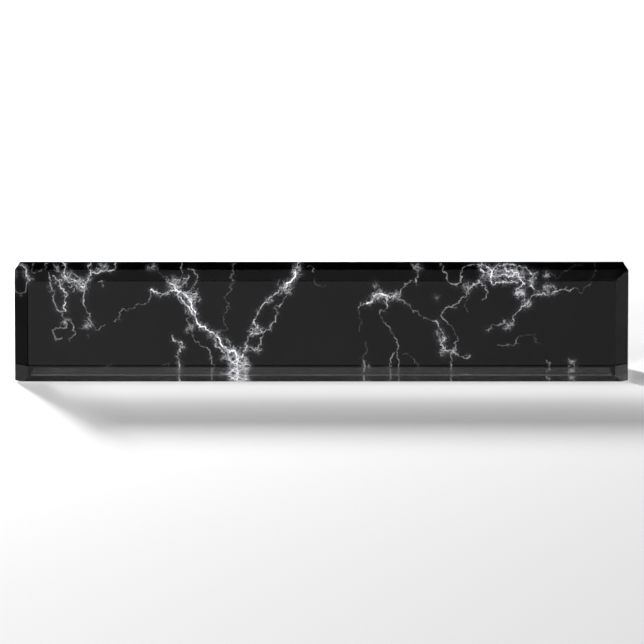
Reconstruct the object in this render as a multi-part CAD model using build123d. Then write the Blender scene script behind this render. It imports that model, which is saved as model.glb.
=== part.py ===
from build123d import *
import os

# Desk name plate: a clear wedge block with a printed film bonded to its back.
# Millimetres. X runs along the length, the front faces -Y, and Z is up.
# The origin is the middle of the footprint, on the surface that the plate stands on.

# Clear block: upright back, front face leaning back
block_length = 215.9
block_height = 38.1
base_depth = 23.8
top_depth = 15.9

# Polished bevels round the front face
bevel_depth = 3.6
side_bevel_width = 5.0
top_bevel_height = 3.0
foot_bevel_height = 2.5
foot_bevel_depth = 1.8

# Small round on every polished edge; the back and the underside, which are bonded, keep sharp edges
edge_round = 0.3

# Sheets bonded to the back face, from the block outwards
adhesive_thickness = 0.1
film_thickness = 0.2
back_sheet_thickness = 0.5

# Non-slip strip under the block, and the tape that holds it
pad_end_inset = 2.5
pad_front_inset = 4.0
pad_back_inset = 1.9
pad_corner = 2.0
pad_thickness = 0.6
tape_thickness = 0.1
tape_margin = 0.5

# Room that a cutting tool runs past the block
cut_margin = 5.0

lean = (base_depth - top_depth) / block_height
foot_height = pad_thickness + tape_thickness
laminate_thickness = adhesive_thickness + film_thickness + back_sheet_thickness


def front_y(height):
    return lean * height


front_edge_y = front_y(foot_bevel_height)
middle_y = (front_edge_y + base_depth + laminate_thickness) / 2
seat = Pos(0, -middle_y, foot_height)


def side_bevel_cutter():
    low_z = -cut_margin
    start = Vector(block_length / 2 - side_bevel_width, front_y(low_z))
    end = Vector(block_length / 2, front_y(low_z) + bevel_depth)
    overrun = (end - start).normalized() * cut_margin
    outside = Vector(end.X + overrun.X, start.Y - overrun.Y)
    triangle = make_face(Polyline(start - overrun, end + overrun, outside, close=True))
    height = block_height + 2 * cut_margin
    travel = Vector(0, lean, 1)
    return extrude(Pos(0, 0, low_z) * triangle, height * travel.length, dir=travel.normalized())


def acrylic_block():
    shoulder = block_height - top_bevel_height
    section = Polyline(
        (foot_bevel_depth, 0),
        (front_y(foot_bevel_height), foot_bevel_height),
        (front_y(shoulder), shoulder),
        (front_y(block_height) + bevel_depth, block_height),
        (base_depth, block_height),
        (base_depth, 0),
        close=True,
    )
    wedge = extrude(Plane.YZ * make_face(section), block_length / 2, both=True)
    cutter = side_bevel_cutter()
    wedge -= cutter
    wedge -= mirror(cutter, Plane.YZ)
    back_face = wedge.faces().sort_by(Axis.Y)[-1]
    foot_face = wedge.faces().sort_by(Axis.Z)[0]
    polished = wedge.edges() - back_face.edges() - foot_face.edges()
    return seat * fillet(polished, edge_round)


def back_layer(start, thickness):
    layer = extrude(Plane.XZ * Rectangle(block_length, block_height), -thickness)
    return seat * Pos(0, base_depth + start, block_height / 2) * layer


def foot_layer(start, thickness, inset):
    front = foot_bevel_depth + pad_front_inset + inset
    back = base_depth - pad_back_inset - inset
    outline = RectangleRounded(block_length - 2 * (pad_end_inset + inset), back - front, pad_corner - inset)
    return Pos(0, (front + back) / 2 - middle_y, start) * extrude(outline, thickness)


parts = {
    "acrylic_block": acrylic_block(),
    "image_adhesive": back_layer(0, adhesive_thickness),
    "image_film": back_layer(adhesive_thickness, film_thickness),
    "back_sheet": back_layer(adhesive_thickness + film_thickness, back_sheet_thickness),
    "pad_tape": foot_layer(pad_thickness, tape_thickness, tape_margin),
    "base_pad": foot_layer(0, pad_thickness, 0),
}

os.makedirs("parts", exist_ok=True)
for name, piece in parts.items():
    export_step(piece, f"parts/{name}.step")
    size = piece.bounding_box().size
    print(f"{name}: {size.X:.2f} x {size.Y:.2f} x {size.Z:.2f} mm, {piece.volume:.1f} mm3")
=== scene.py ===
import math
import random

import bpy
import numpy as np
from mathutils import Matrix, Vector


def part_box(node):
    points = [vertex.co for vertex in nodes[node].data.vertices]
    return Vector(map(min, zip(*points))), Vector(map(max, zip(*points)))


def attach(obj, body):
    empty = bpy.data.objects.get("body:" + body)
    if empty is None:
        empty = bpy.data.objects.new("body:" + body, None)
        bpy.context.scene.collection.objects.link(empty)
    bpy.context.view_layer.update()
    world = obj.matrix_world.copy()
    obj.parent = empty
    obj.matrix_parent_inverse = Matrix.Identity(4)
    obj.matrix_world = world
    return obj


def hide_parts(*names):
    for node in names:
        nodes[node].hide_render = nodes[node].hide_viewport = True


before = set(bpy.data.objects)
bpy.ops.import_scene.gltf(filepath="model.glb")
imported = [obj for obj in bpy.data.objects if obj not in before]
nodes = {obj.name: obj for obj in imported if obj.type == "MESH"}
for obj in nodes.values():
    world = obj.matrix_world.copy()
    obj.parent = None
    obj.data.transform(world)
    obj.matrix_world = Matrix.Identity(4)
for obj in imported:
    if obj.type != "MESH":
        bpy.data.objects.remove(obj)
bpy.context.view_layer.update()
scene = bpy.context.scene
scene.view_settings.view_transform = "Standard"
mm = 0.001
print("frame loaded:", ", ".join(sorted(nodes)))


# A socket that takes part in Python sums: every operator adds a Math node
class Wire:
    def __init__(self, owner, socket):
        self.owner, self.socket = owner, socket

    def maths(self, operation, first, second):
        return self.owner.add("ShaderNodeMath", {"operation": operation}, {0: first, 1: second})

    def __add__(self, other):
        return self.maths("ADD", self, other)

    def __radd__(self, other):
        return self.maths("ADD", other, self)

    def __sub__(self, other):
        return self.maths("SUBTRACT", self, other)

    def __rsub__(self, other):
        return self.maths("SUBTRACT", other, self)

    def __mul__(self, other):
        return self.maths("MULTIPLY", self, other)

    def __rmul__(self, other):
        return self.maths("MULTIPLY", other, self)

    def __neg__(self):
        return self.maths("MULTIPLY", self, -1.0)

    def least(self, other):
        return self.maths("MINIMUM", self, other)

    def most(self, other):
        return self.maths("MAXIMUM", self, other)

    def smooth(self, low, high, start=0.0, end=1.0):
        sockets = {"Value": self, "From Min": low, "From Max": high, "To Min": start, "To Max": end}
        return self.owner.add("ShaderNodeMapRange", {"interpolation_type": "SMOOTHSTEP"}, sockets)


# The node tree of one material, or of the world
class NodeTree:
    def __init__(self, data):
        data.use_nodes = True
        self.data, self.tree = data, data.node_tree
        self.tree.nodes.clear()

    def add(self, kind, settings=None, sockets=None, out=0):
        node = self.tree.nodes.new(kind)
        for name, value in (settings or {}).items():
            setattr(node, name, value)
        for name, value in (sockets or {}).items():
            if isinstance(value, Wire):
                self.tree.links.new(value.socket, node.inputs[name])
            else:
                node.inputs[name].default_value = value
        return Wire(self, node.outputs[out]) if node.outputs else None

    def place(self):
        return self.add("ShaderNodeTexCoord", out="Object")

    def axis(self, vector, letter):
        return self.add("ShaderNodeSeparateXYZ", {}, {0: vector}, out=letter)

    def ray(self, kind):                         # 1 for a ray of this kind, else 0
        return self.add("ShaderNodeLightPath", out=f"Is {kind} Ray")

    def drawn(self, name):                       # a value drawn on the mesh
        return self.add("ShaderNodeAttribute", {"attribute_name": name}, out="Fac")

    def noise(self, vector, scale, detail, roughness=0.5):
        sockets = {"Vector": vector, "Scale": scale, "Detail": detail, "Roughness": roughness}
        return self.add("ShaderNodeTexNoise", {}, sockets, out="Fac")

    def mix(self, factor, first, second):        # two colours
        sockets = {0: factor, 6: first, 7: second}
        return self.add("ShaderNodeMix", {"data_type": "RGBA"}, sockets, out=2)

    def bump(self, height, distance, strength):
        sockets = {"Height": height, "Distance": distance, "Strength": strength}
        return self.add("ShaderNodeBump", {}, sockets)

    def principled(self, **sockets):
        named = {name.replace("_", " "): value for name, value in sockets.items()}
        return self.add("ShaderNodeBsdfPrincipled", {}, named)

    def shadowed(self, shader, tone, share=1.0):  # a shadow ray meets clear stuff in place of the shader
        clear = self.add("ShaderNodeBsdfTransparent", {}, {"Color": grey(tone)})
        return self.add("ShaderNodeMixShader", {}, {0: self.ray("Shadow") * share, 1: shader, 2: clear})

    def surface(self, shader, output="ShaderNodeOutputMaterial"):
        self.add(output, {}, {"Surface": shader})
        return self.data


def newMaterial(name):
    return NodeTree(bpy.data.materials.new(name))


def grey(level, blue=1.0):
    return (level, level, level * blue, 1.0)


# Everything is deselected before a primitive is added, because an operator takes all that is selected
def startPiece(addPrimitive, **settings):
    bpy.ops.object.select_all(action="DESELECT")
    addPrimitive(**settings)
    return bpy.context.object


def settlePiece(piece, name, *materials):
    bpy.ops.object.transform_apply(location=True, rotation=True, scale=True)
    piece.name = piece.data.name = name
    piece.data.materials.clear()
    for material in materials:
        piece.data.materials.append(material)


# Leaves the piece in edit mode, with some of its vertices, edges or faces selected
def selectParts(kind, parts, chosen):
    bpy.ops.object.mode_set(mode="EDIT")
    bpy.ops.mesh.select_mode(type=kind)
    bpy.ops.mesh.select_all(action="DESELECT")
    bpy.ops.object.mode_set(mode="OBJECT")
    parts.foreach_set("select", chosen)
    bpy.ops.object.mode_set(mode="EDIT")


# Clear block: an upright back, a front that leans back, and polished bevels round the front
block = {
    "topDepth": 15.9 * mm,
    "baseDepth": 23.8 * mm,
    "sideBevel": (5.0 * mm, 3.6 * mm),           # along the front, into the depth
    "topBevel": (3.0 * mm, 3.6 * mm),            # down the front, into the depth
    "footBevel": (2.5 * mm, 1.8 * mm),           # up the front, into the depth
    "edgeRound": 0.22 * mm,
    "edgeSteps": 3,
    "bond": 0.02 * mm,                           # the block laps the print, and stands off the tape
    "refraction": 1.49,
    "tones": ((0.985, 0.99, 0.992, 1), (1, 1, 1, 1)),  # clean, and on a smudge
    "smudges": (38.0, 4.0),                      # scale and detail of their noise
    "smudgeRange": (0.45, 0.75),                 # noise where a smudge starts, and where it is full
    "smudgeBlur": 0.001,
    "coatBlur": 0.01,
    "haze": 0.0215,                              # share of light that the front scatters evenly: a painted sheen in place of the room mirrored in it
    "cornerSheenAndLight": (0.020, 0.140),                # diffuse share at the foot of the left and right bevels: painted sheen at the left, and at the right a painted glow of the light that the block lets out at that corner
    "footHaze": (0.55, 0.080),                   # on the underside: a line that paints the bright highlight along the foot, and the sawn middle
    "footZones": (7.8 * mm, 9.55 * mm, 20.2 * mm),  # where the line starts, the middle starts, and ends
    "darkLineHeights": (5.75 * mm, 6.10 * mm),         # a fine line round the front above the foot, left without the painted sheen and the coat so that it shows dark, from and to
    "toeGloss": 0.70,                            # the foot bevel is duller
    "cleanShadow": 0.995,                        # light that each face lets into a shadow
    "endShadow": 0.25,                           # less through the ends, where light turns away
}

# Light led down the block whitens the start of its shadow, so the sheets behind it let shadow rays by
lightStrip = {
    "heights": (9.0 * mm, 11.5 * mm, 18.0 * mm, 49.5 * mm),  # where it starts, is full, fades, and ends
    "shares": (0.918, 0.980),                    # at the left and right ends
    "reach": 95 * mm,                            # way from the middle to those ends
    "corner": (-108 * mm, -88 * mm),             # the left corner lets less by, from and to
    "cornerShare": 0.93,
}


def stripLight(tree, place):
    x, z = tree.axis(place, "X"), tree.axis(place, "Z")
    start, full, fade, end = lightStrip["heights"]
    fading = (end / (end - fade) - z * (1 / (end - fade))).least(1.0)
    along = x.smooth(-lightStrip["reach"], lightStrip["reach"], *lightStrip["shares"])
    corner = x.smooth(*lightStrip["corner"], lightStrip["cornerShare"], 1.0)
    return along * corner * z.smooth(start, full) * fading


def acrylicMaterial(name, shadowTone, haze, finish):
    tree = newMaterial(name)
    smudge = tree.noise(tree.place(), *block["smudges"]).smooth(*block["smudgeRange"])
    glass = tree.principled(
        Base_Color=tree.mix(smudge, *block["tones"]),
        Roughness=block["smudgeBlur"] * smudge,
        # the share taken from transmission scatters as haze; on some faces that paints sheen and light
        Transmission_Weight=1.0 - haze,
        **finish,
    )
    return tree.surface(tree.shadowed(glass, shadowTone))


# Finishes of the block's faces: light let into a shadow, haze, and gloss; on some faces the haze paints sheen
# and light
def blockFinishes():
    clean = block["cleanShadow"]
    bend = {"IOR": block["refraction"]}
    straight = {"IOR": 1.0}                      # the view goes straight through
    gloss = {"Coat_Weight": 1.0, "Coat_IOR": block["refraction"], "Coat_Roughness": block["coatBlur"]}
    coat = {**straight, **gloss}
    return {
        "clearAcrylic": (clean, 0.0, bend),
        "paintedSheenFront": (clean, block["haze"], bend),
        "polishedBevel": (clean, 0.0, coat),
        "clearEnd": (block["endShadow"], 0.0, bend),
        "darkLineStrip": (clean, 0.0, straight),
        # the left and right copies differ only in painted light, brighter at the right corner
        "leftBevelFoot": (clean, block["cornerSheenAndLight"][0], coat),
        "rightBevelFoot": (clean, block["cornerSheenAndLight"][1], coat),
        # a strip of the underside that paints the highlight along the foot
        "highlightLineFoot": (clean, block["footHaze"][0], bend),
        "sawnFoot": (clean, block["footHaze"][1], bend),
        "dullToe": (clean, 0.0, {**bend, "Specular_Tint": grey(block["toeGloss"])}),
    }


def cutBlock(point, normal):
    bpy.ops.mesh.select_all(action="SELECT")
    bpy.ops.mesh.bisect(plane_co=point, plane_no=Vector(normal).normalized(), use_fill=True, clear_outer=True)


def makeBlock():
    low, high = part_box("acrylic_block")
    back = high.y + block["bond"]
    foot = low.z + block["bond"]
    frontFoot = high.y - block["baseDepth"]      # where the front face would meet the underside
    length, height = high.x - low.x, high.z - low.z
    lean = (block["baseDepth"] - block["topDepth"]) / height

    middle = Vector(((low.x + high.x) / 2, (frontFoot + back) / 2, (foot + high.z) / 2))
    piece = startPiece(bpy.ops.mesh.primitive_cube_add, size=1, location=middle)
    piece.scale = (length, back - frontFoot, high.z - foot)
    finishes = blockFinishes()
    settlePiece(piece, "acrylicBlock", *(acrylicMaterial(name, *finish) for name, finish in finishes.items()))
    mesh = piece.data
    topFront = [vertex.co.y < middle.y and vertex.co.z > middle.z for vertex in mesh.vertices]
    selectParts("VERT", mesh.vertices, topFront)
    bpy.ops.transform.translate(value=(0, lean * height, 0))

    drop, inset = block["topBevel"]
    shoulder = Vector((0, frontFoot + lean * (height - drop), high.z - drop))
    cutBlock(shoulder, (0, -drop, inset + lean * drop))
    rise, inset = block["footBevel"]
    toe = Vector((0, frontFoot + lean * rise, low.z + rise))
    cutBlock(toe, (0, -rise, -(inset - lean * rise)))
    along, inset = block["sideBevel"]
    for side in (-1, 1):
        start = Vector((side * (length / 2 - along), frontFoot, low.z))
        cutBlock(start, (side * inset, -along, along * lean))
    bpy.ops.object.mode_set(mode="OBJECT")

    near = 0.01 * mm
    onBack = {vertex.index for vertex in mesh.vertices if abs(vertex.co.y - back) < near}
    onFoot = {vertex.index for vertex in mesh.vertices if abs(vertex.co.z - foot) < near}
    ends = [set(edge.vertices) for edge in mesh.edges]
    polished = [not (pair <= onBack or pair <= onFoot) for pair in ends]
    selectParts("EDGE", mesh.edges, polished)    # edges of the bonded faces stay sharp
    bpy.ops.mesh.bevel(offset=block["edgeRound"], segments=block["edgeSteps"], affect="EDGES")

    lineLow, lineHigh = (low.z + level for level in block["darkLineHeights"])
    zoneStart = frontFoot + block["footBevel"][1]
    highlightStart, sawnStart, sawnEnd = (zoneStart + depth for depth in block["footZones"])
    faceEnd = length / 2 - along
    for axis, levels in (
        ((0, 0, 1), (lineLow, lineHigh)),
        ((0, 1, 0), (highlightStart, sawnStart, sawnEnd)),
        ((1, 0, 0), (-faceEnd, faceEnd)),
    ):
        for level in levels:
            bpy.ops.mesh.select_all(action="SELECT")
            bpy.ops.mesh.bisect(plane_co=Vector(axis) * level, plane_no=axis)
    bpy.ops.object.mode_set(mode="OBJECT")
    bpy.ops.object.shade_flat()                  # flat faces keep the view through the block straight

    square, tilted, steep = 0.95, 0.3, 0.8       # shares of a normal along one axis
    leftTurn, rightTurn, toeTurn = -0.1, 0.54, -0.2  # how far the rounds beside the front belong to it

    def finishOf(face):
        x, y, z = face.normal
        spot = face.center
        onBevel = z > tilted or -square < x < leftTurn or rightTurn < x < square
        # faces on the dark line keep no sheen and no coat: a painted dark line
        onDarkLine = lineLow < spot.z < lineHigh
        if z < -square and abs(spot.x) < faceEnd and highlightStart < spot.y < sawnEnd:
            return "highlightLineFoot" if spot.y < sawnStart else "sawnFoot"
        if onBevel and onDarkLine:
            return "darkLineStrip"
        if onBevel and spot.z > lineLow:
            return "polishedBevel"
        if onBevel:
            return "leftBevelFoot" if x < 0 else "rightBevelFoot"
        if y < -steep and z > toeTurn and not onDarkLine:
            return "paintedSheenFront"
        if y < -steep and z < -tilted:
            return "dullToe"
        return "clearEnd" if abs(x) > square else "clearAcrylic"

    order = list(finishes)
    for face in mesh.polygons:
        face.material_index = order.index(finishOf(face))
    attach(piece, "root")
    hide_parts("acrylic_block")
    print("acrylic block:", len(piece.data.polygons), "faces")
    return piece


# Printed film: white stone veins on black, drawn as strands that fray into hairs and lace
film = {
    "seed": 17,
    "cell": 1.35 * mm,                           # mesh pitch on the black
    "finer": (1.3, 0.55),                        # cells this near a vein, in mm, are cut into nine, twice
    "unit": (0.3575, 0.368),                     # one step of the points below, across and down, in mm
    "start": (321.0, 365.2),                     # the step at the plate's middle, and at the block's foot
    "step": 0.3,                                 # longest straight bit of a vein, in mm
    "jag": (1.3, 1.6),                           # legs shorter than this, in mm, sway this much more
    "pulse": (0.8, 0.22, 0.22),                  # brightness along a strand: first, least, and drift
    "swell": 0.3,                                # share of a strand's width that follows its brightness
    "haze": 1.0,                                 # reach of the haze round a stroke, in mm
    "hazeCut": 2.5,                              # number of reaches after which it is left out
    "hazeGain": 0.5,
}

# Ink of the print: tones, the noises that break it up, and the range of each noise that counts
marble = {
    "black": (grey(0.0006), grey(0.0016, 1.2)),
    "mist": (0.16, 0.155, 0.18, 1),
    "lace": (0.64, 0.64, 0.68, 1),
    "vein": (0.92, 0.92, 0.94, 1),
    "clouds": (60.0, 3.0),                       # scale and detail
    "grain": (1100.0, 4.0, 0.65),                # scale, detail and roughness
    "curls": (2.0, 0.6),                         # detail and roughness
    "coarse": (650.0, 0.07),                     # scale and width of the curls
    "small": (1300.0, 0.08),
    "smallShare": 0.8,
    "laceGain": 1.3,
    "cloudRange": (0.4, 0.8),
    "mistRange": (0.3, 0.75),
    "laceRange": (0.35, 0.65),
    "veinRange": (0.25, 0.6, 0.7, 1.1),          # with the brightness at each end
    "roughness": (0.5, 0.1),                     # least, and what the clouds add
}

# A hair is drawn in bits, twigs are hairs that leave a strand, and a knot is a clump of hairs; lengths in mm
hair = {"bit": 0.22, "width": (0.060, 0.075), "loss": 0.8, "mist": 0.32}
twig = {"turn": (0.4, 1.3), "least": 0.4, "mean": 0.7, "most": 3.0, "wander": 0.5, "bright": 0.45}
clump = {"share": 0.7, "spread": (0.45, 0.35), "length": (0.8, 2.8), "wander": 0.6, "bright": (0.06, 0.45)}

# Grade of a strand: half width in mm, brightness, sway, twigs for each mm, and mist round it
grades = {
    "bold": (0.098, 1.55, 0.14, 0.60, 0.30),
    "bright": (0.086, 1.15, 0.16, 0.30, 0.15),
    "strong": (0.076, 0.72, 0.16, 0.30, 0.10),
    "soft": (0.076, 0.35, 0.16, 0.30, 0.10),
    "medium": (0.070, 0.42, 0.17, 0.15, 0.03),
    "lit": (0.070, 0.50, 0.18, 0.08, 0.03),
    "fine": (0.068, 0.24, 0.18, 0.08, 0.015),
    "pale": (0.068, 0.13, 0.18, 0.08, 0.015),
    "trace": (0.068, 0.05, 0.18, 0.08, 0.015),
    "faint": (0.068, 0.07, 0.18, 0.03, 0.01),
}

# Points run across and down the plate
strands = [
    ("bright", (18, 262), (22, 265), (26, 270), (28, 277), (28, 281)),
    ("lit", (28, 281), (25, 285), (24, 290), (21, 293), (15, 294)),
    ("fine", (33, 262), (31, 269), (35, 272), (40, 271), (45, 268), (48, 262)),
    ("fine", (53, 262), (56, 267), (56, 271), (62, 272)),
    ("strong", (62, 262), (64, 268), (63, 272)),
    ("bright", (63, 272), (67, 277), (71, 279), (76, 281), (80, 283), (85, 286)),
    ("medium", (62, 276), (68, 281), (74, 280), (78, 286), (85, 286)),
    ("fine", (66, 273), (74, 274), (80, 279), (84, 283)),
    ("strong", (90, 262), (90, 271), (87, 278), (85, 286)),
    ("strong", (91, 272), (95, 273), (98, 272), (104, 270), (110, 270), (114, 269), (115, 262)),
    ("fine", (99, 262), (101, 271)),
    ("fine", (99, 263), (105, 266), (104, 270)),
    ("medium", (48, 272), (49, 279), (52, 285), (56, 290), (54, 295), (54, 300), (56, 304), (58, 309)),
    ("strong", (52, 275), (59, 279), (61, 284), (65, 288), (68, 293), (66, 298), (64, 304), (64, 307),
        (66, 310), (58, 309)),
    ("medium", (85, 286), (86, 289), (85, 293), (84, 297), (84, 303), (86, 306), (87, 310), (90, 312),
        (90, 316), (89, 319)),
    ("fine", (89, 319), (92, 321), (94, 325), (96, 329), (100, 327), (105, 324)),
    ("fine", (58, 309), (63, 313), (64, 320), (68, 318), (71, 321), (74, 327), (75, 331), (72, 335),
        (69, 340)),
    ("fine", (64, 320), (67, 323), (66, 327), (58, 327), (52, 329), (53, 333), (54, 337), (56, 339),
        (62, 336)),
    ("faint", (86, 334), (88, 333), (89, 335), (88, 337), (86, 336)),
    ("fine", (99, 281), (102, 281), (102, 284), (104, 286)),
    ("fine", (114, 320), (119, 311), (126, 310), (131, 308), (135, 307), (137, 303), (146, 302), (149, 298),
        (151, 289)),
    ("bright", (151, 289), (157, 292), (166, 292), (172, 290), (177, 289)),
    ("bold", (177, 289), (184, 293), (188, 297), (191, 305), (195, 313), (196, 319), (204, 325), (213, 331),
        (217, 336)),
    ("bold", (217, 336), (221, 344), (226, 346), (231, 349), (236, 354), (238, 360), (237, 367)),
    ("soft", (177, 289), (182, 285), (186, 281), (188, 275)),
    ("bright", (177, 289), (173, 284), (168, 282)),
    ("bright", (180, 291), (183, 300), (190, 307), (194, 314)),
    ("bright", (186, 294), (192, 299), (196, 292)),
    ("bright", (231, 349), (228, 356), (233, 362), (240, 366)),
    ("strong", (238, 360), (244, 364), (250, 366)),
    ("bright", (242, 353), (238, 357), (233, 360), (229, 366)),
    ("medium", (221, 350), (227, 350), (231, 356), (237, 358)),
    ("fine", (157, 268), (162, 276), (167, 281), (172, 285), (177, 289)),
    ("fine", (181, 262), (181, 269), (182, 274), (179, 281), (177, 289)),
    ("soft", (185, 293), (192, 292), (195, 284), (197, 277), (194, 272), (188, 268)),
    ("fine", (198, 287), (195, 297), (191, 303)),
    ("fine", (176, 293), (180, 300), (185, 306), (186, 313), (188, 322), (191, 330), (194, 340), (200, 345),
        (209, 353), (217, 367)),
    ("strong", (214, 337), (219, 347), (221, 350), (226, 355), (231, 362), (236, 367)),
    ("pale", (235, 262), (235, 280), (230, 291), (229, 302), (224, 315), (225, 323), (228, 328), (219, 331),
        (213, 332)),
    ("bold", (298, 262), (295, 273), (291, 280), (286, 286)),
    ("strong", (286, 286), (280, 286), (275, 293), (269, 300), (264, 302), (259, 309), (256, 316), (254, 323),
        (258, 327), (261, 330)),
    ("strong", (261, 330), (258, 333), (252, 332), (247, 336), (245, 342), (246, 346), (242, 353),
        (238, 356)),
    ("medium", (286, 286), (286, 294), (283, 300), (278, 305), (275, 317), (275, 321), (265, 330), (263, 335),
        (260, 344), (255, 349), (248, 346)),
    ("fine", (307, 266), (313, 272)),
    ("faint", (314, 277), (314, 282), (319, 285), (326, 284)),
    ("strong", (172, 334), (180, 341), (182, 345), (178, 351), (178, 359), (179, 367)),
    ("trace", (162, 364), (168, 362), (172, 367)),
    ("trace", (104, 367), (106, 364), (111, 362), (110, 365)),
    ("bold", (385, 294), (375, 293), (373, 297), (366, 302)),
    ("medium", (366, 302), (360, 301), (358, 307)),
    ("faint", (358, 307), (358, 312), (360, 318), (360, 324), (358, 331)),
    ("strong", (385, 294), (390, 296), (397, 298), (403, 302)),
    ("fine", (403, 302), (410, 307), (418, 312), (428, 317), (432, 320)),
    ("strong", (432, 320), (438, 327), (443, 333), (444, 338), (442, 341), (442, 347), (447, 350),
        (453, 350)),
    ("medium", (453, 350), (452, 359), (449, 367)),
    ("medium", (453, 350), (458, 354), (463, 356), (470, 354)),
    ("fine", (453, 350), (455, 344), (458, 339), (454, 331), (451, 325), (445, 320)),
    ("medium", (445, 320), (442, 318), (441, 311), (444, 308), (452, 304), (465, 296), (467, 289)),
    ("strong", (467, 289), (473, 283), (479, 280)),
    ("faint", (467, 292), (467, 311)),
    ("medium", (385, 294), (392, 293), (400, 289)),
    ("fine", (400, 289), (407, 282), (415, 281)),
    ("medium", (415, 281), (418, 276), (418, 270), (412, 265), (411, 262)),
    ("strong", (385, 294), (385, 302), (387, 305)),
    ("fine", (387, 305), (384, 309), (379, 311), (382, 318), (386, 324), (390, 330), (396, 338), (398, 344),
        (397, 351)),
    ("medium", (397, 351), (390, 357), (390, 365), (384, 366), (381, 368)),
    ("fine", (397, 352), (397, 357), (399, 362), (397, 367)),
    ("faint", (402, 353), (408, 352), (412, 357), (416, 362), (417, 367)),
    ("faint", (365, 340), (365, 352), (363, 359)),
    ("medium", (363, 359), (367, 367)),
    ("medium", (441, 262), (446, 273), (447, 279), (452, 283), (460, 281), (462, 276), (461, 270), (467, 265),
        (477, 264)),
    ("bold", (477, 264), (482, 264), (488, 267), (492, 271), (491, 277), (490, 281)),
    ("bright", (480, 268), (486, 272), (491, 274)),
    ("bright", (492, 275), (499, 276), (506, 275), (512, 276), (517, 272)),
    ("bright", (503, 264), (506, 269), (512, 270), (517, 274)),
    ("strong", (514, 292), (518, 295), (523, 293), (520, 290), (515, 291)),
    ("medium", (496, 266), (500, 271), (506, 272), (511, 267)),
    ("medium", (518, 276), (524, 277), (528, 272)),
    ("bright", (490, 281), (492, 284), (499, 282), (506, 282), (511, 280), (517, 282)),
    ("bright", (492, 271), (495, 266), (503, 264), (513, 264), (516, 267), (518, 271)),
    ("bright", (518, 271), (520, 277), (521, 281), (519, 286), (515, 288), (514, 292)),
    ("fine", (494, 273), (496, 275), (503, 275), (510, 274), (511, 271), (517, 270)),
    ("bright", (517, 266), (524, 267), (529, 271), (533, 276), (530, 281), (532, 288)),
    ("medium", (532, 288), (536, 290), (541, 290), (542, 286), (548, 285)),
    ("faint", (548, 285), (546, 277), (553, 274), (563, 271), (573, 266), (580, 265), (581, 262)),
    ("medium", (548, 285), (553, 287), (556, 291)),
    ("faint", (581, 292), (576, 289), (572, 287)),
    ("medium", (572, 287), (565, 289), (559, 289)),
    ("strong", (559, 289), (552, 292), (546, 294), (539, 293), (534, 293), (530, 296), (526, 303), (520, 306),
        (515, 312), (513, 319)),
    ("medium", (513, 319), (512, 323), (506, 323), (499, 324), (485, 329)),
    ("faint", (581, 291), (585, 285), (590, 279), (594, 272), (595, 269), (593, 262)),
    ("fine", (479, 273), (479, 280)),
    ("medium", (479, 281), (484, 284), (486, 292), (485, 297), (481, 299)),
    ("fine", (497, 344), (507, 343), (512, 345), (515, 342), (518, 336)),
    ("faint", (518, 336), (522, 334), (531, 334), (535, 333), (540, 342)),
    ("fine", (546, 359), (550, 364), (547, 366), (549, 368)),
    ("fine", (571, 360), (568, 366), (567, 368)),
    ("fine", (571, 360), (575, 365), (576, 368)),
]

# Knots where strands meet and fray: place, reach in mm and number of hairs, of which a share is drawn
knots = [
    ((20, 264), 1.2, 6), ((28, 280), 1.2, 8), ((56, 267), 1.2, 6), ((66, 275), 2.2, 14), ((82, 284), 3.4, 34),
    ((102, 267), 2.0, 18), ((88, 324), 1.5, 11), ((65, 322), 1.6, 10), ((150, 266), 1.8, 12),
    ((175, 283), 2.8, 44), ((193, 297), 2.4, 30), ((188, 325), 2.2, 12), ((215, 335), 2.4, 16),
    ((232, 352), 3.4, 64), ((255, 331), 2.4, 20), ((285, 288), 2.6, 20), ((296, 270), 2.0, 14),
    ((270, 298), 2.0, 10), ((257, 349), 2.0, 12), ((240, 364), 2.6, 44), ((378, 294), 2.6, 26),
    ((393, 295), 2.4, 24), ((440, 336), 2.8, 14), ((443, 350), 1.3, 12), ((453, 350), 1.2, 8),
    ((467, 288), 2.4, 22), ((488, 275), 3.0, 26), ((504, 270), 3.0, 22), ((517, 274), 2.6, 26),
    ((519, 292), 1.7, 34), ((530, 279), 2.4, 14), ((548, 288), 2.6, 22), ((546, 276), 0.9, 8),
    ((526, 302), 2.2, 14), ((507, 324), 2.4, 22), ((571, 361), 1.1, 4), ((417, 268), 1.6, 10),
    ((436, 296), 0.8, 5), ((373, 285), 0.5, 5), ((181, 345), 0.9, 5), ((366, 366), 0.7, 8),
    ((244, 363), 2.2, 20),
]


def stonePoint(point):
    across, down = np.subtract(point, film["start"]) * film["unit"]
    return np.array([across, -down])


# Breaks a leg at its middle, off to one side, until the bits are short
def crackle(start, end, sway, dice):
    leg = end - start
    length = float(np.hypot(*leg))
    if length < film["step"]:
        return [end]
    short, more = film["jag"]
    off = dice.gauss(0, sway * (more if length < short else 1.0))
    middle = (start + end) / 2 + off * np.array([-leg[1], leg[0]])
    return crackle(start, middle, sway, dice) + crackle(middle, end, sway, dice)


# A hair wanders off from its root and fades towards its tip
def addHair(strokes, root, heading, length, wander, bright, dice):
    count = max(2, round(length / hair["bit"]))
    width = dice.uniform(*hair["width"])
    for i in range(count):
        heading += dice.gauss(0, wander)
        tip = root + length / count * np.array([math.cos(heading), math.sin(heading)])
        strokes.append((root, tip, width, bright * (1 - hair["loss"] * i / count), hair["mist"]))
        root = tip


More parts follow.
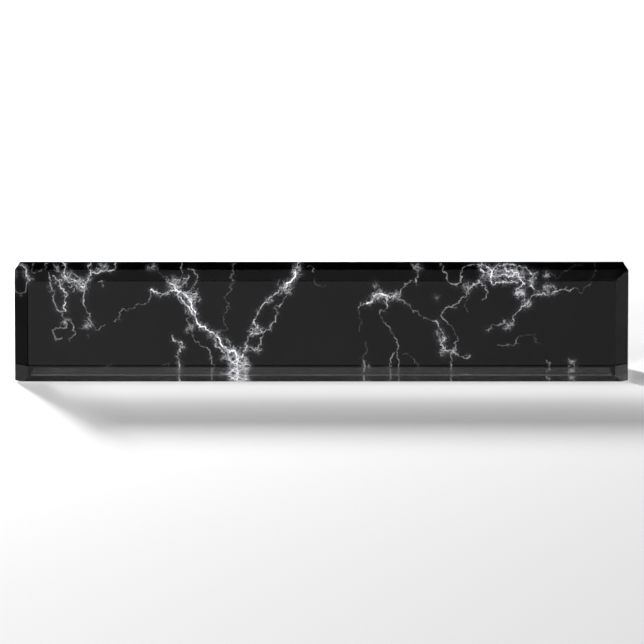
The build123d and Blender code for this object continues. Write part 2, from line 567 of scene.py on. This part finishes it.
def drawVeins():
    dice = random.Random(film["seed"])
    firstPulse, leastPulse, drift = film["pulse"]
    swell = film["swell"]
    strokes = []                                 # start, end, half width, brightness, mist
    for grade, *points in strands:
        width, bright, sway, twigs, mist = grades[grade]
        path = [stonePoint(points[0])]
        for a, b in zip(points, points[1:]):
            path += crackle(stonePoint(a), stonePoint(b), sway, dice)
        pulse = firstPulse
        for a, b in zip(path, path[1:]):
            pulse = min(1.0, max(leastPulse, pulse + dice.gauss(0, drift)))
            strokes.append((a, b, width * (1 - swell + swell * pulse), bright * pulse, mist))
            run = b - a
            if dice.random() < twigs * float(np.hypot(*run)):
                heading = math.atan2(run[1], run[0]) + dice.choice((-1, 1)) * dice.uniform(*twig["turn"])
                length = min(twig["most"], twig["least"] + dice.expovariate(1 / twig["mean"]))
                addHair(strokes, b, heading, length, twig["wander"], bright * twig["bright"], dice)
    for place, reach, hairs in knots:
        for _ in range(round(clump["share"] * hairs)):
            root = stonePoint(place) + np.array([dice.gauss(0, reach * spread) for spread in clump["spread"]])
            heading, length = dice.uniform(0, 2 * math.pi), dice.uniform(*clump["length"])
            addHair(strokes, root, heading, length, clump["wander"], dice.uniform(*clump["bright"]), dice)
    return strokes


# Ink at each point of the print: the strands, the haze round them, and the way to the nearest one
def inkAt(points, strokes):
    order = np.argsort(points[:, 0])
    across, up = points[order, 0], points[order, 1]
    reach = film["hazeCut"] * film["haze"]
    core, haze, away = np.zeros(len(order)), np.zeros(len(order)), np.full(len(order), reach)
    for start, end, width, bright, mist in strokes:
        first = np.searchsorted(across, min(start[0], end[0]) - reach)
        last = np.searchsorted(across, max(start[0], end[0]) + reach)
        part = slice(first, last)
        x, z = across[part] - start[0], up[part] - start[1]
        run = end - start
        length2 = max(float(run @ run), 1e-9)    # never zero
        t = np.clip((x * run[0] + z * run[1]) / length2, 0, 1)
        gap2 = (x - t * run[0]) ** 2 + (z - t * run[1]) ** 2
        core[part] = np.maximum(core[part], bright * np.exp(-gap2 / (2 * width ** 2)))
        haze[part] += mist * bright * math.sqrt(length2) * np.exp(-gap2 / film["haze"] ** 2)
        away[part] = np.minimum(away[part], np.sqrt(gap2))
    back = np.argsort(order)
    return core[back], 1 - np.exp(-film["hazeGain"] * haze[back]), away[back]


def filmMaterial():
    tree = newMaterial("printedFilm")
    place = tree.place()
    vein, haze = tree.drawn("vein"), tree.drawn("haze")
    grain = tree.noise(place, *marble["grain"])
    clouds = tree.noise(place, *marble["clouds"])

    def curls(scale, width):                     # thin lines, where a noise passes its middle
        off = tree.noise(place, scale, *marble["curls"]) - 0.5
        return off.most(-off).smooth(0.0, width, 1.0, 0.0)

    stone = tree.mix(clouds.smooth(*marble["cloudRange"]), *marble["black"])
    misty = tree.mix(haze * grain.smooth(*marble["mistRange"]), stone, marble["mist"])
    lace = curls(*marble["coarse"]).most(marble["smallShare"] * curls(*marble["small"]))
    frayed = lace * haze * grain.smooth(*marble["laceRange"])
    laced = tree.mix((marble["laceGain"] * frayed).least(1.0), misty, marble["lace"])
    inked = tree.mix((vein * grain.smooth(*marble["veinRange"])).least(1.0), laced, marble["vein"])
    least, more = marble["roughness"]
    printed = tree.principled(Base_Color=inked, Roughness=least + more * clouds, Specular_IOR_Level=0.0)
    return tree.surface(tree.shadowed(printed, block["cleanShadow"], stripLight(tree, place)))


def makeFilm():
    low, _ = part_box("image_adhesive")
    _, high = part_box("image_film")
    lap = Vector((block["bond"], 0, block["bond"]))
    low, high = low - 2 * lap, high + lap        # a hair past the block, so that no faces coincide
    length, height = high.x - low.x, high.z - low.z
    piece = startPiece(
        bpy.ops.mesh.primitive_grid_add,
        size=1,
        location=((low.x + high.x) / 2, low.y, (low.z + high.z) / 2),
        rotation=(math.pi / 2, 0, 0),
        x_subdivisions=round(length / film["cell"]),
        y_subdivisions=round(height / film["cell"]),
    )
    piece.scale = (length, height, 1)
    settlePiece(piece, "printedFilm", filmMaterial())
    mesh = piece.data

    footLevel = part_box("acrylic_block")[0].z
    strokes = drawVeins()

    def ink(spots):
        return inkAt(np.column_stack([spots[:, 0], spots[:, 2] - footLevel]) / mm, strokes)

    for near in film["finer"]:
        away = ink(np.array([face.center for face in mesh.polygons]))[2]
        selectParts("FACE", mesh.polygons, away < near)
        bpy.ops.mesh.subdivide(number_cuts=2)
        bpy.ops.object.mode_set(mode="OBJECT")

    bpy.ops.object.mode_set(mode="EDIT")
    bpy.ops.mesh.select_mode(type="EDGE")
    bpy.ops.mesh.select_all(action="DESELECT")
    bpy.ops.mesh.select_non_manifold()
    bpy.ops.mesh.extrude_region_move(TRANSFORM_OT_translate={"value": (0, high.y - low.y, 0)})
    bpy.ops.mesh.edge_face_add()
    bpy.ops.mesh.select_all(action="SELECT")
    bpy.ops.mesh.normals_make_consistent(inside=False)
    bpy.ops.object.mode_set(mode="OBJECT")

    vein, haze, _ = ink(np.array([vertex.co for vertex in mesh.vertices]))
    for name, values in (("vein", vein), ("haze", haze)):
        layer = mesh.attributes.new(name, "FLOAT", "POINT")
        layer.data.foreach_set("value", values.astype(np.float32))
    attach(piece, "root")
    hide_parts("image_film", "image_adhesive")
    mesh.calc_loop_triangles()
    print("printed film:", len(strokes), "strokes,", len(mesh.loop_triangles), "triangles")


# Finishes of the carried-over pieces; a noise is scale, detail and roughness
backSheet = {
    "tones": (grey(0.011), grey(0.018, 1.05)),
    "drift": (30.0, 4.0),
    "grain": (2400.0, 3.0),
    "grainDepth": (0.04 * mm, 0.5),              # and strength
    "rubbed": (180.0, 6.0, 0.7),
    "rubbedRange": (0.58, 0.75),
    "roughness": (0.36, 0.12, 0.10),             # least, more with the grain, and more where rubbed
}


def backSheetMaterial():
    tree = newMaterial("satinBackSheet")
    place = tree.place()
    grain = tree.noise(place, *backSheet["grain"])
    drift = tree.noise(place, *backSheet["drift"])
    rubbed = tree.noise(place, *backSheet["rubbed"]).smooth(*backSheet["rubbedRange"])
    least, grainy, worn = backSheet["roughness"]
    sheet = tree.principled(
        Base_Color=tree.mix(drift, *backSheet["tones"]),
        Roughness=least + grainy * grain + worn * rubbed,
        Normal=tree.bump(grain, *backSheet["grainDepth"]),
    )
    return tree.surface(tree.shadowed(sheet, block["cleanShadow"], stripLight(tree, place)))


tape = {
    "tones": (grey(0.060), grey(0.045)),         # dry, and where it has wetted the block
    "wetted": (420.0, 5.0, 0.6),
    "wettedRange": (0.40, 0.62),
    "roughness": (0.03, 0.05),                   # least, and more where wetted
}


def tapeMaterial():
    tree = newMaterial("bondedTape")
    wetted = tree.noise(tree.place(), *tape["wetted"]).smooth(*tape["wettedRange"])
    least, more = tape["roughness"]
    return tree.surface(tree.principled(
        Base_Color=tree.mix(wetted, *tape["tones"]),
        Roughness=least + more * wetted,
    ))


pad = {
    "tones": (grey(0.022), grey(0.05)),          # in the middle of a foam cell, and on its wall
    "cellScale": 2200.0,
    "cellRange": (0.1, 0.6),
    "cellDepth": (0.06 * mm, 0.7),               # and strength
    "drift": (160.0, 4.0),
    "driftShare": 0.5,
    "roughness": (0.8, 0.15),                    # least, and what the drift adds
}


def foamMaterial():
    tree = newMaterial("foamPad")
    place = tree.place()
    cell = tree.add("ShaderNodeTexVoronoi", {}, {"Vector": place, "Scale": pad["cellScale"]}, out="Distance")
    drift = tree.noise(place, *pad["drift"])
    least, more = pad["roughness"]
    return tree.surface(tree.principled(
        Base_Color=tree.mix(cell.smooth(*pad["cellRange"]), *pad["tones"]),
        Roughness=least + more * drift,
        Normal=tree.bump(cell + pad["driftShare"] * drift, *pad["cellDepth"]),
    ))


def dressNode(name, material):
    node = nodes[name]
    node.data.materials.clear()
    node.data.materials.append(material)


clearBlock = makeBlock()
makeFilm()
dressNode("back_sheet", backSheetMaterial())
dressNode("pad_tape", tapeMaterial())
dressNode("base_pad", foamMaterial())
print("pieces finished")


# Studio: a pale floor, a lamp behind on the left that draws the shadow, and two soft lamps
studio = {
    "floorSize": 12.0,
    "floorTone": 0.80,
    "floorGlow": 0.03,                           # lifts the floor towards white, for the eye only
    "whiteFrom": (0.6, 1.5),                     # way from the plate over which the floor turns white
    "paintedMirrorTones": (0.19, 0.40),                   # painted tones that glossy rays see on the floor at the left and right: the reflection in the left and right bevels
    "leftMirrorPaint": (0.112, 0.135),                  # way out over which the painted reflection covers the floor
    "rightMirrorPaint": (0.16, 0.26),
    "mirrorPaintSplit": 0.1,                            # way from the middle to where each painted tone is full
    "aim": (0, 0, 0.015),
}

# The lamps behind leave the clear block unlit
lamps = {
    "backLamp": {"place": (-0.44, 0.65, 0.34), "radius": 0.06, "power": 66.0, "onBlock": False},
    "frontLamp": {"place": (-0.85, -0.90, 0.24), "size": (0.6, 0.4), "power": 19.0, "onBlock": True},
    "rearLamp": {"place": (0.5, 1.6, 1.2), "size": (1.5, 1.0), "power": 5.0, "onBlock": False},
}


def floorMaterial():
    tree = newMaterial("paleFloor")
    rays = ("Camera", "Glossy", "Transmission", "Diffuse")
    camera, gloss, through, scattered = (tree.ray(kind) for kind in rays)
    place = tree.place()
    x = tree.axis(place, "X")
    away = tree.add("ShaderNodeVectorMath", {"operation": "LENGTH"}, {0: place}, out="Value")
    # At the sides glossy rays see a painted grey in place of the floor: a painted reflection for the bevels
    mirrorPaintTone = x.smooth(-studio["mirrorPaintSplit"], studio["mirrorPaintSplit"], *studio["paintedMirrorTones"])
    mirrorPainted = gloss * (-x).smooth(*studio["leftMirrorPaint"]).most(x.smooth(*studio["rightMirrorPaint"]))
    lifted = studio["floorGlow"] * camera.most(gloss).most(through)
    lifted = lifted.most(camera.most(through) * away.smooth(*studio["whiteFrom"]))
    strength = lifted + mirrorPainted * (mirrorPaintTone - lifted)
    tone = tree.mix(mirrorPainted.most(scattered), grey(studio["floorTone"]), grey(0.0))
    glow = tree.add("ShaderNodeEmission", {}, {"Color": grey(1.0), "Strength": strength})
    matt = tree.add("ShaderNodeBsdfDiffuse", {}, {"Color": tone})
    return tree.surface(tree.add("ShaderNodeAddShader", {}, {0: matt, 1: glow}))


def makeFloor():
    floor = startPiece(bpy.ops.mesh.primitive_plane_add, size=studio["floorSize"])
    settlePiece(floor, "paleFloor", floorMaterial())


def addLamps():
    unlit = bpy.data.collections.new("clearPieces")
    unlit.objects.link(clearBlock)
    unlit.collection_objects[0].light_linking.link_state = "EXCLUDE"
    for name, spec in lamps.items():
        soft = "size" in spec
        data = bpy.data.lights.new(name, "AREA" if soft else "POINT")
        data.energy = spec["power"]
        if soft:
            data.shape, (data.size, data.size_y) = "RECTANGLE", spec["size"]
        else:
            data.shadow_soft_size = spec["radius"]
        lamp = bpy.data.objects.new(name, data)
        lamp.location = spec["place"]
        lamp.rotation_euler = (Vector(studio["aim"]) - lamp.location).to_track_quat("-Z", "Y").to_euler()
        lamp.visible_glossy = not soft           # soft lamps are not mirrored
        if not spec["onBlock"]:
            lamp.light_linking.receiver_collection = unlit
        scene.collection.objects.link(lamp)


# Dim room: grey at the plate's ends and overhead, dark in front and behind, and white to the camera
room = {
    "ends": (0.31, 0.14),                        # level between the ends, and what the right has over it
    "endRange": 0.8,
    "frontRange": (0.25, 0.9),                   # turn to the front over which it goes dark
    "backRange": (0.1, 0.6),
    "overhead": (0.22, 0.10),                    # levels above the middle and above the right end
    "overheadRange": (0.0, 0.16),
    "cornerRange": (0.1445, 0.1495),             # it goes dark above the right corner
    "cornerShare": 0.05,
    "highRange": (0.8, 0.97),
}


def makeRoom():
    scene.world = scene.world or bpy.data.worlds.new("room")
    tree = NodeTree(scene.world)
    toward = tree.add("ShaderNodeTexCoord", out="Generated")
    x, y, z = (tree.axis(toward, letter) for letter in "XYZ")
    middle, more = room["ends"]
    ends = middle + more * x.smooth(-room["endRange"], room["endRange"], -1.0, 1.0)
    level = ends * (1.0 - (-y).smooth(*room["frontRange"])) * y.smooth(*room["backRange"], 1.0, 0.0)
    corner = x.smooth(*room["cornerRange"], 1.0, room["cornerShare"])
    overhead = x.smooth(*room["overheadRange"], *room["overhead"]) * corner
    level = level + (overhead - level) * z.smooth(*room["highRange"])
    strength = level.most(tree.ray("Camera"))
    sky = tree.add("ShaderNodeBackground", {}, {"Color": grey(1.0), "Strength": strength})
    tree.surface(sky, "ShaderNodeOutputWorld")


# Camera at the picture's angle: degrees, metres, and millimetres of lens and sensor
view = {"rise": 14.1, "distance": 0.69, "lens": 110.9, "sensor": 36.0, "aim": (0.00018, -0.01253, 0.02271)}


def addCamera():
    data = bpy.data.cameras.new("camera")
    data.lens, data.sensor_width = view["lens"], view["sensor"]
    camera = bpy.data.objects.new("camera", data)
    rise = math.radians(view["rise"])
    away = Vector((0, -math.cos(rise), math.sin(rise)))
    camera.location = Vector(view["aim"]) + away * view["distance"]
    camera.rotation_euler = (-away).to_track_quat("-Z", "Y").to_euler()
    scene.collection.objects.link(camera)
    scene.camera = camera


makeFloor()
addLamps()
makeRoom()
addCamera()
print("studio ready")
